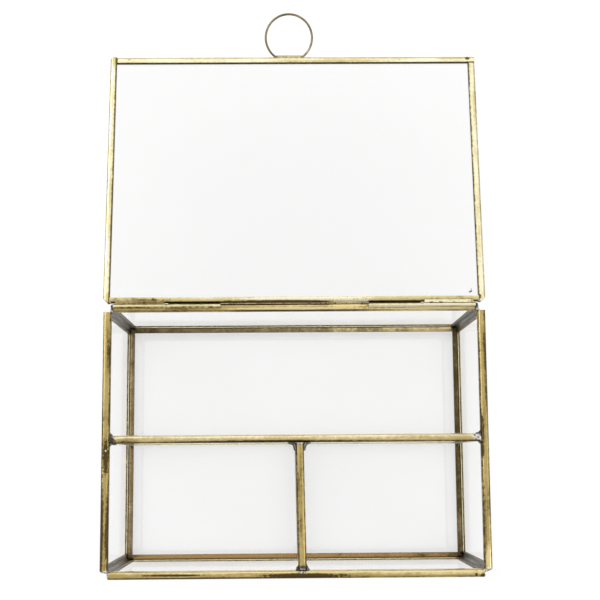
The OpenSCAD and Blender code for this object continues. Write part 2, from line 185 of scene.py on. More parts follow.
class Tree:
    """Builds a node tree one node at a time."""

    def __init__(self, tree):
        self.tree = tree

    def add(self, kind, settings=None, **inputs):
        node = self.tree.nodes.new("ShaderNode" + kind)
        for name, value in (settings or {}).items():
            setattr(node, name, value)
        for name, value in inputs.items():
            self.put(node.inputs[name.replace("_", " ")], value)
        return node

    def put(self, socket, value):
        if isinstance(value, bpy.types.NodeSocket):
            self.tree.links.new(value, socket)
        elif socket.type == "RGBA" and len(value) == 3:
            socket.default_value = (*value, 1.0)
        else:
            socket.default_value = value

    def math(self, operation, a, b=0.0):
        node = self.add("Math", {"operation": operation})
        self.put(node.inputs[0], a)
        self.put(node.inputs[1], b)
        return node.outputs[0]

    def mix(self, factor, a, b):
        node = self.add("Mix", {"data_type": "RGBA"})
        self.put(node.inputs[0], factor)
        self.put(node.inputs[6], a)
        self.put(node.inputs[7], b)
        return node.outputs[2]

    def mix_value(self, factor, a, b):
        node = self.add("Mix", {"data_type": "FLOAT"})
        self.put(node.inputs[0], factor)
        self.put(node.inputs[2], a)
        self.put(node.inputs[3], b)
        return node.outputs[0]

    def swing(self, value, reach):
        """How far a pattern is from its middle, times a reach."""
        return self.math("MULTIPLY", self.math("SUBTRACT", value, 0.5), reach)

    def ramp(self, value, low, high, to_low=0.0, to_high=1.0):
        """A soft step: to_low where the value is low, and to_high where it is high."""
        node = self.add(
            "MapRange", {"interpolation_type": "SMOOTHSTEP"}, Value=value, From_Min=low,
            From_Max=high, To_Min=to_low, To_Max=to_high,
        )
        return node.outputs["Result"]

    def bands(self, value, stops):
        """Colours that follow a value, from (place, colour) pairs."""
        node = self.add("ValToRGB", Fac=value)
        ramp = node.color_ramp
        while len(ramp.elements) < len(stops):
            ramp.elements.new(1.0)
        for element, (place, shade) in zip(ramp.elements, stops):
            element.position = place
            element.color = (*shade, 1.0)
        return node.outputs[0]

    def noise(self, vector, scale, detail=3.0, roughness=0.5, distortion=0.0):
        node = self.add(
            "TexNoise", Vector=vector, Scale=scale, Detail=detail, Roughness=roughness,
            Distortion=distortion,
        )
        return node.outputs[0]

    def scaled(self, vector, scale):
        return self.add("Mapping", Vector=vector, Scale=scale).outputs[0]


def new_group(name, inputs, outputs):
    """An empty shader node group, as (group, builder, input sockets, output sockets)."""
    group = bpy.data.node_groups.new(name, "ShaderNodeTree")
    for way, sockets in (("INPUT", inputs), ("OUTPUT", outputs)):
        for socket, kind in sockets.items():
            group.interface.new_socket(socket, in_out=way, socket_type="NodeSocket" + kind)
    tree = Tree(group)
    entry = group.nodes.new("NodeGroupInput")
    leave = group.nodes.new("NodeGroupOutput")
    return group, tree, entry.outputs, leave.inputs


def patina_and_painted_light_group():
    """Brass that has browned in clouds and darkened along its borders, partly patina and partly
    painted shade, with painted highlights and shade carried in by its Shine: its colour, roughness
    and height.
    """
    name = "Brass patina and painted light"
    if name in bpy.data.node_groups:
        return bpy.data.node_groups[name]
    group, tree, given, result = new_group(
        name,
        {
            "Place": "Vector", "Stretched": "Vector", "Bright": "Color", "Middle": "Color",
            "Dark": "Color", "Shine": "Float", "Edge": "Float",
        },
        {"Color": "Color", "Roughness": "Float", "Height": "Float"},
    )
    clouds = tree.noise(given["Stretched"], scale=0.35, detail=3.0, roughness=0.55)
    mottle = tree.noise(given["Place"], scale=0.55, detail=5.0, roughness=0.65, distortion=0.4)
    brushed = tree.noise(given["Stretched"], scale=2.6, detail=3.0, roughness=0.6)
    shine = tree.math("ADD", given["Shine"], tree.swing(clouds, CLOUD_REACH))
    shine = tree.math("ADD", shine, tree.swing(mottle, MOTTLE_REACH))
    shine = tree.math("ADD", shine, tree.swing(brushed, BRUSHED_REACH))
    # The edges are darkened unevenly, as patina and as painted shade, and most where the mottling
    # is dark
    ragged = tree.ramp(mottle, 0.35, 0.6, 1.25, 0.7)
    shine = tree.math("SUBTRACT", shine, tree.math("MULTIPLY", given["Edge"], ragged))
    browned = tree.mix(tree.ramp(shine, 0.0, 0.5), given["Dark"], given["Middle"])
    tree.put(result["Color"], tree.mix(tree.ramp(shine, 0.5, 1.0), browned, given["Bright"]))
    dullness = tree.ramp(shine, 0.0, 1.0, 0.34, 0.2)
    tree.put(result["Roughness"], tree.math("ADD", dullness, tree.swing(brushed, 0.12)))
    waves = tree.noise(given["Stretched"], scale=0.7, detail=2.0, roughness=0.5)
    tree.put(result["Height"], tree.math("ADD", waves, tree.math("MULTIPLY", mottle, 0.25)))
    return group


def spot_group():
    """A soft-edged place on a strip, longer than wide, as a mask."""
    name = "Spot"
    if name in bpy.data.node_groups:
        return bpy.data.node_groups[name]
    group, tree, given, result = new_group(
        name,
        {
            "Place": "Vector", "Along": "Float", "Across": "Float", "Middle": "Float",
            "Offset": "Float", "Half length": "Float", "Half width": "Float",
        },
        {"Mask": "Float"},
    )
    ragged = tree.swing(tree.noise(given["Place"], scale=0.8, detail=4.0, roughness=0.6), 1.3)
    along = tree.math("SUBTRACT", given["Along"], given["Middle"])
    along = tree.math("DIVIDE", along, given["Half length"])
    across = tree.math("SUBTRACT", given["Across"], given["Offset"])
    across = tree.math("DIVIDE", across, given["Half width"])
    square = tree.math("MULTIPLY", along, along)
    square = tree.math("ADD", square, tree.math("MULTIPLY", across, across))
    far = tree.math("ADD", tree.math("SQRT", square), ragged)
    tree.put(result["Mask"], tree.ramp(far, 0.55, 1.15, 1.0, 0.0))
    return group


def tin_group():
    """Dull tin solder with streaks and pits: its colour, roughness and height."""
    name = "Tin solder"
    if name in bpy.data.node_groups:
        return bpy.data.node_groups[name]
    group, tree, given, result = new_group(
        name,
        {"Vector": "Vector", "Light": "Color", "Dark": "Color", "Dullness": "Float"},
        {"Color": "Color", "Roughness": "Float", "Height": "Float"},
    )
    clouds = tree.noise(given["Vector"], scale=0.35, detail=5.0, roughness=0.7, distortion=0.6)
    grains = tree.noise(given["Vector"], scale=2.2, detail=4.0, roughness=0.7)
    value = tree.math("ADD", clouds, tree.swing(grains, 1.1))
    value = tree.math("SUBTRACT", value, tree.math("SUBTRACT", given["Dullness"], 0.5))
    shade = tree.mix(tree.ramp(value, 0.3, 0.7), given["Dark"], given["Light"])
    tree.put(result["Color"], shade)
    tree.put(result["Roughness"], tree.math("ADD", tree.math("MULTIPLY", grains, 0.35), 0.25))
    tree.put(result["Height"], tree.math("ADD", clouds, tree.math("MULTIPLY", grains, 0.4)))
    return group


def new_material(name):
    """An empty material, as (material, builder, surface socket)."""
    material = bpy.data.materials.new(name)
    material.use_nodes = True
    material.node_tree.nodes.clear()
    tree = Tree(material.node_tree)
    output = tree.add("OutputMaterial")
    return material, tree, output.inputs["Surface"]


def millimetres(tree):
    """Object coordinates in millimetres."""
    where = tree.add("TexCoord").outputs["Object"]
    return tree.scaled(where, (1 / MM,) * 3)


def grouped(tree, group, **inputs):
    """The output sockets of a node group that is placed in a material."""
    node = tree.add("Group", {"node_tree": group})
    for name, value in inputs.items():
        tree.put(node.inputs[name], value)
    return node.outputs


def metal(tree, surface, made, bump, depth):
    """The metal shader itself, fed by what an effect group puts out."""
    raised = tree.add("Bump", Strength=bump, Distance=depth, Height=made["Height"])
    shader = tree.add(
        "BsdfPrincipled", Metallic=1.0, Base_Color=made["Color"], Roughness=made["Roughness"],
        Normal=raised.outputs[0],
    )
    tree.put(surface, shader.outputs[0])


def brass_material(name, along, across, shine, tilt=0.0, edges=(0.0, 0.0), half=STRIP_HALF,
                   stains_and_highlights=(), splashes=(), hidden=None, **colours):
    """Patinated brass of a strip that runs along one axis, with painted highlights and painted
    shade.

    across measures a point from the strip's middle line. tilt is how fast the shine rises that
    way, a painted highlight on one side and painted shade on the other, and edges how dark the
    strip's two borders are, partly patina and partly painted shade. A stain is (place along, place
    across, half length, half width, loss of shine), a painted highlight where that loss is
    negative, and a splash of solder the same with its lightness last. darkening measures how far a
    point is darkened besides its borders: the painted shade under the lid, or the outer faces of
    the walls' feet. colours are bright, middle and dark, where they aren't those of plain brass.
    """
    look = bpy.context.scene.jewelry_brass
    solder = bpy.context.scene.jewelry_solder
    material, tree, surface = new_material(name)
    where = millimetres(tree)
    parts = tree.add("SeparateXYZ", Vector=where).outputs
    scale = [1.0, 1.0, 1.0]
    scale["XYZ".index(along)] = STRIP_STRETCH
    stretched = tree.scaled(where, scale)
    offset = across(tree, parts)
    low = tree.math("MULTIPLY", tree.ramp(offset, -half, EDGE_WIDTH - half, 1.0, 0.0), edges[0])
    high = tree.math("MULTIPLY", tree.ramp(offset, half - EDGE_WIDTH, half), edges[1])
    edge = tree.math("ADD", low, high)
    if hidden:
        edge = tree.math("ADD", edge, hidden(tree, parts))
    value = tree.math("ADD", tree.math("MULTIPLY", offset, tilt), shine)
    run = parts["XYZ".index(along)]
    for *place, loss in stains_and_highlights:
        mask = spot_mask(tree, where, run, offset, *place)
        value = tree.math("SUBTRACT", value, tree.math("MULTIPLY", mask, loss))
    made = grouped(
        tree, patina_and_painted_light_group(), Place=where, Stretched=stretched,
        Bright=colours.get("bright", look.bright), Middle=colours.get("middle", look.middle),
        Dark=colours.get("dark", look.dark), Shine=value, Edge=edge,
    )
    for *place, lightness in splashes:
        mask = spot_mask(tree, where, run, offset, *place)
        tin = grouped(
            tree, tin_group(), Vector=where, Light=solder.splash, Dark=solder.splash_dark,
            Dullness=1.0 - lightness,
        )
        made = {
            key: tree.mix(mask, made[key], tin[key]) for key in ("Color", "Roughness", "Height")
        }
    metal(tree, surface, made, *BRASS_SKIN)
    return material


def spot_mask(tree, where, run, offset, along, across, half_length, half_width):
    """The mask of one spot: a stain, a painted highlight, painted shade or a splash, at a point
    that is run along its strip and offset from its middle.
    """
    inputs = {
        "Place": where, "Along": run, "Across": offset, "Middle": along, "Offset": across,
        "Half length": half_length, "Half width": half_width,
    }
    return grouped(tree, spot_group(), **inputs)["Mask"]


def from_line(axis, middle):
    """A point's distance from a strip's middle line, along one axis."""
    def measure(tree, parts):
        return tree.math("SUBTRACT", parts[axis], middle)
    return measure


def from_short_divider(tree, parts):
    """A point's distance from the middle line of the short divider, which is turned a little."""
    back = tree.math("SUBTRACT", parts[1], SHORT_DIVIDER_Y)
    shift = tree.math("MULTIPLY", back, math.tan(math.radians(SHORT_DIVIDER_TURN)))
    return tree.math("ADD", tree.math("SUBTRACT", parts[0], SHORT_DIVIDER_X), shift)


def outside_box(tree, parts):
    """Browns what faces out of the box and leaves what faces into it bright."""
    beyond = []
    for axis, middle in enumerate(WALL_MIDDLES):
        reach = tree.math("ABSOLUTE", parts[axis])
        beyond.append(tree.ramp(reach, middle - 0.3, middle + 0.3, 0.0, OUTSIDE_LOSS))
    return tree.math("MAXIMUM", *beyond)


def shade_under_lid(tree, parts):
    """Painted shade, with some patina: darkens what lies under the lid's upper face, such as the
    inside of its strips, which the lid shades.
    """
    lean = math.radians(LID_LEAN)
    level = tree.math("ADD", tree.math("MULTIPLY", parts[1], math.sin(lean)),
                      tree.math("MULTIPLY", parts[2], math.cos(lean)))
    return tree.ramp(level, LID_TOP - 1.3, LID_TOP - 0.5, 1.0, 0.0)


def upright_brass(name):
    """Brass of strips that mostly stand upright: duller and browner than the rails on top."""
    look = bpy.context.scene.jewelry_brass
    return brass_material(
        name, "Z", from_line(2, MIDDLE_HEIGHT), UPRIGHT_SHINE, middle=look.bronze, dark=look.brown
    )


def base_material(name):
    """Brass of the base's strip: reddened in front, browned at the sides, golden behind."""
    look = bpy.context.scene.jewelry_brass
    material, tree, surface = new_material(name)
    where = millimetres(tree)
    parts = tree.add("SeparateXYZ", Vector=where).outputs
    at_side = tree.ramp(tree.math("ABSOLUTE", parts[0]), BASE_SIDE - 0.5, BASE_SIDE + 0.5)
    in_front = tree.ramp(parts[1], *BASE_FRONT, 1.0, 0.0)
    in_front = tree.math("MULTIPLY", in_front, tree.math("SUBTRACT", 1.0, at_side))
    rise = tree.mix_value(in_front, BASE_BACK_RISE, BASE_FRONT_RISE)
    shine = tree.mix_value(in_front, BASE_BACK_SHINE, BASE_FRONT_SHINE)
    shine = tree.mix_value(at_side, shine, BASE_SIDE_SHINE)
    rise = tree.math("MULTIPLY", parts[0], tree.mix_value(at_side, rise, BASE_SIDE_RISE))
    shine = tree.math("ADD", shine, rise)
    edge = tree.ramp(tree.math("SUBTRACT", parts[2], BASE_FOLD_TOP), -0.6, 0.2, 0.5, 0.0)
    made = grouped(
        tree, patina_and_painted_light_group(), Place=where,
        Stretched=tree.scaled(where, (BASE_STRETCH, BASE_STRETCH, 1.0)),
        Bright=tree.mix(in_front, look.bright, look.copper),
        Middle=tree.mix(in_front, look.olive, look.copper), Dark=look.dark, Shine=shine, Edge=edge,
    )
    metal(tree, surface, made, *BRASS_SKIN)
    return material


def glass_material(name, tint):
    """Clear sheet glass that lets the lamps' light through.

    Its mirror images are held back where a pane is seen edge-on, so that the edge stays clear.
    """
    look = bpy.context.scene.jewelry_glass
    material, tree, surface = new_material(name)
    where = millimetres(tree)
    smears = tree.noise(where, scale=0.05, detail=5.0, roughness=0.65, distortion=1.2)
    rough = tree.ramp(smears, 0.45, 0.75, 0.0, look.smears)
    glass = tree.add(
        "BsdfPrincipled", Base_Color=tint, Roughness=rough, Transmission_Weight=1.0,
        IOR=GLASS_IOR,
    )
    through = tree.add("BsdfRefraction", Color=tint, Roughness=rough, IOR=GLASS_IOR)
    facing = tree.add("LayerWeight").outputs["Facing"]
    entering = tree.ramp(facing, *EDGE_ON_OUTSIDE)
    leaving = tree.ramp(facing, *EDGE_ON_INSIDE)
    inside = tree.add("NewGeometry").outputs["Backfacing"]
    edge_on = tree.math("MAXIMUM", tree.math("MULTIPLY", leaving, inside),
                        tree.math("MULTIPLY", entering, tree.math("SUBTRACT", 1.0, inside)))
    held = tree.add("MixShader", Fac=tree.math("MULTIPLY", edge_on, look.held_back))
    tree.put(held.inputs[1], glass.outputs[0])
    tree.put(held.inputs[2], through.outputs[0])
    clear = tree.add("BsdfTransparent", Color=tint)
    path = tree.add("LightPath").outputs
    lamp = tree.math("MAXIMUM", path["Is Shadow Ray"], path["Is Diffuse Ray"])
    mixed = tree.add("MixShader", Fac=lamp)
    tree.put(mixed.inputs[1], held.outputs[0])
    tree.put(mixed.inputs[2], clear.outputs[0])
    tree.put(surface, mixed.outputs[0])
    return material


def solder_material(name, light, dark, dullness=0.5, stretch=1.0):
    """Dull metal of the solder. stretch below 1 draws its streaks out along Z."""
    material, tree, surface = new_material(name)
    where = tree.scaled(millimetres(tree), (1.0, 1.0, stretch))
    made = grouped(tree, tin_group(), Vector=where, Light=light, Dark=dark, Dullness=dullness)
    metal(tree, surface, made, *SOLDER_SKIN)
    return material


DROP_STEP = 0.6  # from drop to drop, as a share of the radius
DROP_SWELL, DROP_WAVES = 0.25, 1.7  # how much the radius varies, and how fast
LUMPS = ((0.10, 1.6), (0.05, 4.5))  # height and fineness of the lumps in the skin


def balls(strokes):
    """Points and faces of the balls that stand for the drops of strokes."""
    ball = bmesh.new()
    bmesh.ops.create_icosphere(ball, subdivisions=2, radius=1.0)
    corners = [vertex.co.copy() for vertex in ball.verts]
    sides = [[vertex.index for vertex in face.verts] for face in ball.faces]
    ball.free()
    points, faces = [], []
    for stroke in strokes:
        rows = list(zip(stroke, stroke[1:])) or [(stroke[0], stroke[0])]
        for first, last in rows:
            gap = (Vector(last[:3]) - Vector(first[:3])).length
            steps = max(1, math.ceil(gap / (DROP_STEP * min(first[3], last[3]))))
            for step in range(steps + 1):
                drop = Vector(first).lerp(Vector(last), step / steps)
                swell = 1 + DROP_SWELL * noise.noise(drop.xyz * DROP_WAVES)
                faces.extend([len(points) + corner for corner in side] for side in sides)
                points.extend(drop.xyz + corner * (drop.w * swell) for corner in corners)
    return points, faces


def solder_drops(name, body, strokes, material):
    """Melted solder: drops along strokes, run into one closed and lumpy skin.

    A stroke is a row of drops, each the place of its middle and its radius in millimetres, and
    the drops between them are filled in.
    """
    points, faces = balls(strokes)
    mesh = bpy.data.meshes.new(name)
    mesh.from_pydata(points, [], faces)
    piece = bpy.data.objects.new(name, mesh)
    bpy.context.scene.collection.objects.link(piece)
    skin = piece.modifiers.new("skin", "REMESH")
    skin.mode = "VOXEL"
    skin.voxel_size = bpy.context.scene.jewelry_solder.grain / MM
    skin.use_smooth_shade = True
    smooth = piece.modifiers.new("smooth", "SMOOTH")
    smooth.iterations = 3
    ready = piece.evaluated_get(bpy.context.evaluated_depsgraph_get())
    mesh = bpy.data.meshes.new_from_object(ready)
    piece.modifiers.clear()
    piece.data = mesh
    places = []
    for vertex in mesh.vertices:
        lump = sum(height * noise.noise(vertex.co * fineness) for height, fineness in LUMPS)
        places.append(vertex.co + vertex.normal * lump)
    for vertex, place in zip(mesh.vertices, places):
        vertex.co = place * MM
    mesh.name = name
    mesh.materials.clear()
    mesh.materials.append(material)
    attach(piece, body)
    return piece


def finish_nodes(names, material):
    """Gives CAD nodes a material in their slots."""
    for name in names:
        mesh = frame["nodes"][name].data
        mesh.materials.clear()
        mesh.materials.append(material)


def nodes_of(slot):
    return [part["node"] for part in frame["record"]["subparts"] if part["material_slot"] == slot]


class Strip(NamedTuple):
    """A strip that shows much, and its own finish. Lengths are in millimetres."""

    node: str
    along: str  # the direction that it runs in
    axis: int  # the axis across it
    middle: float  # where its middle line is on that axis
    half: float  # half its width
    shine: float
    tilt: float  # how fast the shine rises across: a painted highlight on one side and painted shade on the other
    edges: tuple  # how dark its low and high edges are, partly patina and partly painted shade
    stains_and_highlights: tuple  # stains, and painted highlights where the loss of shine is negative, as brass_material takes them, and so the splashes
    splashes: tuple = ()


# A spot with a negative loss of shine is a painted highlight, as along the front rail's inner
# edge.
WALL_STRIPS = (
    Strip("left_top_rail", "Y", 0, -WALL_MIDDLES[0], STRIP_HALF, 0.42, 0.0, (0.8, 0.35),
          ((-8, 0.3, 9, 1.5, 0.5), (-38, -1.1, 26, 0.9, 0.5), (-42, 1.1, 14, 0.8, 0.3),
           (40, 0.9, 14, 0.8, 0.15)),
          ((-5.0, 0.3, 0.5, 0.4, 0.8), (-59.8, 0.9, 0.7, 1.2, 0.6))),
    Strip("right_top_rail", "Y", 0, WALL_MIDDLES[0], STRIP_HALF, 0.48, -0.04, (0.5, 0.6),
          ((-56, 0.2, 8, 1.2, -0.5), (-6, -1.2, 4, 0.8, 0.6), (3, -1.0, 8, 0.8, 0.35),
           (36, 1.1, 30, 0.9, 0.35), (-38, -1.1, 20, 0.7, 0.35)),
          ((-59.8, 0.4, 1.0, 1.4, 0.7),)),
    Strip("front_top_rail", "X", 1, -WALL_MIDDLES[1], STRIP_HALF, 0.62, 0.12, (0.35, 0.0),
          ((-56, 0.0, 15, 0.55, 1.0), (-5, 1.35, 84, 0.5, -0.5), (3, -0.4, 22, 1.0, 0.8),
           (-34, -1.5, 56, 0.5, 0.6), (60, 0.4, 30, 1.2, -0.15), (85.6, -1.0, 1.4, 1.0, 0.9),
           (82.4, -0.6, 0.8, 0.8, 0.6), (84.0, 0.3, 0.9, 0.8, -0.6)),
          ((2.8, 1.0, 2.2, 0.6, 0.5), (-86.1, 0.4, 0.5, 1.2, 0.5))),
    Strip("back_top_rail", "X", 1, WALL_MIDDLES[1], STRIP_HALF, 0.52, 0.0, (0.2, 0.4),
          ((-58, 0, 27, 2.2, 0.14), (0, -1.7, 37, 0.45, 0.7), (-9, 1.7, 27, 0.6, -0.35),
           (25, 1.0, 10, 1.7, -0.5), (0, -0.7, 36, 0.6, -0.6), (62, -1.2, 27, 0.6, -1.0),
           (60, 0.7, 26, 0.5, 0.5)),
          ((-86.2, 0.0, 1.8, 2.0, 0.35), (86.0, 0.0, 1.4, 2.0, 0.15))),
)
LONG_DIVIDER_STRIP = Strip(
    "long_divider_top_rail", "X", 1, LONG_DIVIDER_Y, STRIP_HALF, 0.68, 0.26, (0.5, 0.0),
    ((-78, -0.3, 6, 1.0, 0.35), (-10, -1.2, 44, 0.6, 0.35), (60, 0.4, 20, 0.8, 0.1)),
    ((-85.8, -0.3, 2.6, 2.2, 0.2), (84.9, 0.2, 2.8, 1.7, 0.62), (83.3, 0.9, 0.45, 0.35, 0.0),
     (84.9, 0.0, 0.6, 0.35, 0.05), (83.9, -0.9, 0.5, 0.3, 0.05), (85.9, 0.9, 0.5, 0.5, 0.1)),
)
# On the lid, spots with a negative loss of shine are painted highlights, and the hinge rail's dark
# spot towards the rim is painted shadow of the gap.
LID_STRIPS = (
    Strip("lid_front_rail", "X", 1, 186.4, 1.5, 0.84, -0.06, (0.3, 0.45),
          ((-80.8, 0.2, 0.9, 0.6, 0.5), (20, -0.7, 30, 0.6, 0.3), (78, 0.5, 8, 0.6, 0.35),
           (86.4, 0.4, 1.1, 0.9, 1.6), (-86.7, 0.0, 0.35, 2.4, 1.2))),
    Strip("lid_hinge_rail", "X", 1, 65.1, 1.25, 0.6, 0.12, (0.3, 0.0),
          ((-75, 0.0, 17, 1.6, 0.35), (-66, -0.2, 1.4, 1.3, 0.4), (-9, -0.9, 27, 0.7, 0.65),
           (5, 0.4, 32, 0.9, -0.4), (66, 0.2, 24, 1.6, 0.28), (25, -1.5, 11, 1.3, -1.4))),
    Strip("lid_left_rail", "Y", 0, -88.5, 1.5, 0.8, 0.0, (0.7, 1.2),
          ((186, 0.2, 3.5, 1.6, 0.3), (120, 0.4, 12, 0.8, 0.2), (66, 0.3, 3, 1.4, 0.4))),
    Strip("lid_right_rail", "Y", 0, 88.35, 1.65, 0.88, 0.0, (0.9, 0.8),
          ((184.8, 0.0, 0.5, 2.4, 1.0), (160, 0.6, 12, 0.9, 0.25), (90, -0.3, 10, 1.0, 0.2),
           (65.8, -1.0, 1.4, 0.8, 0.8))),
)
# The other strips' stains, painted highlights and painted shade, and their splashes
SHORT_DIVIDER_STAINS = (
    (-40, -0.2, 6, 0.7, 0.2), (-12, 0.4, 10, 0.7, 0.2), (-30, -1.0, 28, 0.6, 0.2),
)
SHORT_DIVIDER_SPLASHES = ((-2.2, 0.0, 0.8, 1.6, 0.5), (-58.9, 0.0, 1.6, 2.2, 0.32))
KNUCKLE_STAINS_AND_HIGHLIGHTS = (
    (-72, -0.5, 14, 0.7, 0.4), (-47, -0.4, 12, 0.5, 0.4), (60, -0.7, 28, 0.6, -0.8),
)
RING_STAINS = ((-6, 0, 6, 50, 0.2), (6, 0, 3, 50, -0.15))
BEAD_SHADE_AND_HIGHLIGHTS = ((60, 0, 28, 4, -0.6), (60, -0.85, 28, 0.4, 0.9), (-60, -0.5, 28, 1.2, 0.2))
SEAM_PAINTED_LIGHT = ((25, 0, 12, 4, -0.8),)


def finish_strip(strip, **finish):
    """Gives a strip its own brass."""
    brass = brass_material(
        strip.node.replace("rail", "brass"), strip.along, from_line(strip.axis, strip.middle),
        strip.shine, strip.tilt, strip.edges, strip.half, strip.stains_and_highlights, strip.splashes, **finish,
    )
    finish_nodes([strip.node], brass)


class JEWELRY_OT_glass(bpy.types.Operator):
    """Finish the panes of the walls, the base, the dividers and the lid"""

    bl_idname = "jewelry.glass"
    bl_label = "Glass"

    def execute(self, context):
        look = context.scene.jewelry_glass
        finish_nodes(nodes_of("glass"), glass_material("glass", look.tint))
        finish_nodes(["lid_glass"], glass_material("lid_glass", look.lid_tint))
        return {"FINISHED"}


class JEWELRY_OT_walls(bpy.types.Operator):
    """Finish the strips round the walls"""

    bl_idname = "jewelry.walls"
    bl_label = "Wall strips"

    def execute(self, context):
        finish_nodes(nodes_of("rim_brass"), upright_brass("wall_brass"))
        for strip in WALL_STRIPS:
            finish_strip(strip)
        feet = brass_material(
            "wall_foot_brass", "Z", from_line(2, 0), WALL_FOOT_SHINE, hidden=outside_box,
            bright=context.scene.jewelry_brass.pale,
        )
        finish_nodes([f"{side}_bottom_rail" for side in ("front", "back", "left", "right")], feet)
        return {"FINISHED"}


class JEWELRY_OT_base(bpy.types.Operator):
    """Finish the strip round the base"""

    bl_idname = "jewelry.base"
    bl_label = "Base strip"

    def execute(self, context):
        finish_nodes(nodes_of("base_brass"), base_material("base_brass"))
        return {"FINISHED"}


class JEWELRY_OT_dividers(bpy.types.Operator):
    """Finish the strips round the two dividers"""

    bl_idname = "jewelry.dividers"
    bl_label = "Divider strips"

    def execute(self, context):
        look = context.scene.jewelry_brass
        finish_nodes(nodes_of("divider_brass"), upright_brass("divider_brass"))
        finish_strip(LONG_DIVIDER_STRIP, bright=look.butter, middle=look.honey)
        # Painted light: the long divider's bottom rail gets the pale brass at full shine, to
        # lighten the shade at its foot in front of the divider.
        foot = brass_material(
            "divider_foot_brass", "X", from_line(1, LONG_DIVIDER_Y), shine=1.0, bright=look.pale
        )
        finish_nodes(["long_divider_bottom_rail"], foot)
        short = brass_material(
            "short_divider_top_brass", "Y", from_short_divider, shine=0.46, edges=(0.5, 0.55),
            stains_and_highlights=SHORT_DIVIDER_STAINS, splashes=SHORT_DIVIDER_SPLASHES,
        )
        finish_nodes(["short_divider_top_rail"], short)
        return {"FINISHED"}


class JEWELRY_OT_lid(bpy.types.Operator):
    """Finish the strips round the lid"""

    bl_idname = "jewelry.lid"
    bl_label = "Lid strips"

    def execute(self, context):
        look = context.scene.jewelry_brass
        # The lid's strips get painted shade under the lid's upper face.
        for strip in LID_STRIPS:
            finish_strip(
                strip, hidden=shade_under_lid, bright=look.pale, middle=look.straw, dark=look.umber
            )
        return {"FINISHED"}


class JEWELRY_OT_hinges(bpy.types.Operator):
    """Finish the knuckles and pins of the hinges"""

    bl_idname = "jewelry.hinges"
    bl_label = "Hinges"

    def execute(self, context):
        look = context.scene.jewelry_brass
        # Painted light on the knuckles: their dark edges are painted shade from the gaps beside
        # them, the tilt sets which side carries a painted highlight, and the spot at the right is
        # a painted highlight.
        brass = brass_material(
            "hinge_brass", "X", from_line(1, HINGE_Y), shine=0.8, tilt=-0.35, edges=(0.8, 0.9),
            half=KNUCKLE_R, stains_and_highlights=KNUCKLE_STAINS_AND_HIGHLIGHTS, bright=look.pale, middle=look.straw,
        )
        finish_nodes(nodes_of("hinge_brass"), brass)
        return {"FINISHED"}


class JEWELRY_OT_pull(bpy.types.Operator):
    """Finish the ring that lifts the lid"""

    bl_idname = "jewelry.pull"
    bl_label = "Pull ring"

    def execute(self, context):
        look = context.scene.jewelry_brass
        brass = brass_material(
            "pull_brass", "X", from_line(2, RING_HEIGHT), shine=0.5, stains_and_highlights=RING_STAINS,
            bright=look.ring_bright, middle=look.ring_middle, dark=look.ring_dark,
        )
        finish_nodes(nodes_of("pull_brass"), brass)
        return {"FINISHED"}


# Solder that stands out from its joints, as strokes of drops (x, y, z, radius) in millimetres
JOINT_DROPS = (
    # Where the short divider meets the long one
    ((-3.2, -1.9, 69.3, 0.45), (-1.2, -2.3, 69.3, 0.7), (-0.45, -3.3, 69.3, 0.75),
     (-0.2, -5.0, 69.2, 0.6)),
    ((6.6, -1.9, 69.3, 0.45), (5.0, -2.3, 69.3, 0.7), (4.3, -3.3, 69.3, 0.75),
     (4.1, -5.0, 69.2, 0.6)),
    # Where the long one meets the side walls, and the short one the front
    ((-84.4, -1.9, 69.1, 0.6), (-83.2, -2.0, 68.9, 0.4)), ((-85.8, 1.9, 69.0, 0.5),),
    ((85.6, 2.1, 69.0, 0.5), (84.2, 2.1, 69.0, 0.35)), ((85.9, -2.2, 69.0, 0.5),),
    ((0.4, -58.6, 69.0, 0.45), (0.2, -59.4, 69.0, 0.6)),
    ((5.0, -58.6, 69.0, 0.45), (5.2, -59.4, 69.0, 0.6)),
)
DIVIDER_DROPS = (
    ((0.9, -2.0, 69.45, 0.4), (2.4, -2.1, 69.5, 0.42), (3.4, -2.0, 69.4, 0.4)),
    ((84.2, 1.1, 69.5, 0.4),), ((85.7, -0.7, 69.4, 0.5), (86.2, -1.2, 69.3, 0.5)),
    ((84.8, 1.7, 69.1, 0.5),), ((-85.7, 0.6, 69.4, 0.6),),
    ((2.7, -60.4, 69.4, 0.4), (3.4, -60.7, 69.45, 0.35)),
)
CORNER_DROPS = (
    # Front right
    ((85.8, -62.2, 69.2, 0.75), (86.3, -62.6, 68.9, 0.6)),
    ((86.6, -60.5, 69.0, 0.8), (88.6, -59.9, 69.2, 0.7), (89.5, -59.8, 68.9, 0.4)),
    # Front left
    ((-89.0, -59.7, 69.1, 0.7), (-86.8, -59.9, 69.1, 0.8)),
    ((-86.0, -60.7, 69.1, 0.75), (-85.9, -62.4, 68.9, 0.75)),
    # Back left and back right
    ((-86.0, 60.3, 69.1, 0.75), (-85.8, 62.4, 69.1, 0.8)),
    ((86.0, 60.4, 69.1, 0.8), (86.0, 62.5, 69.1, 0.8)), ((86.9, 60.0, 69.0, 0.6),),
    # On the left rail
    ((-87.9, -5.0, 69.65, 0.35),),
)
HINGE_SEAM = ((-59.4, 63.83, 68.5, 0.28), (59.4, 63.83, 68.5, 0.28))
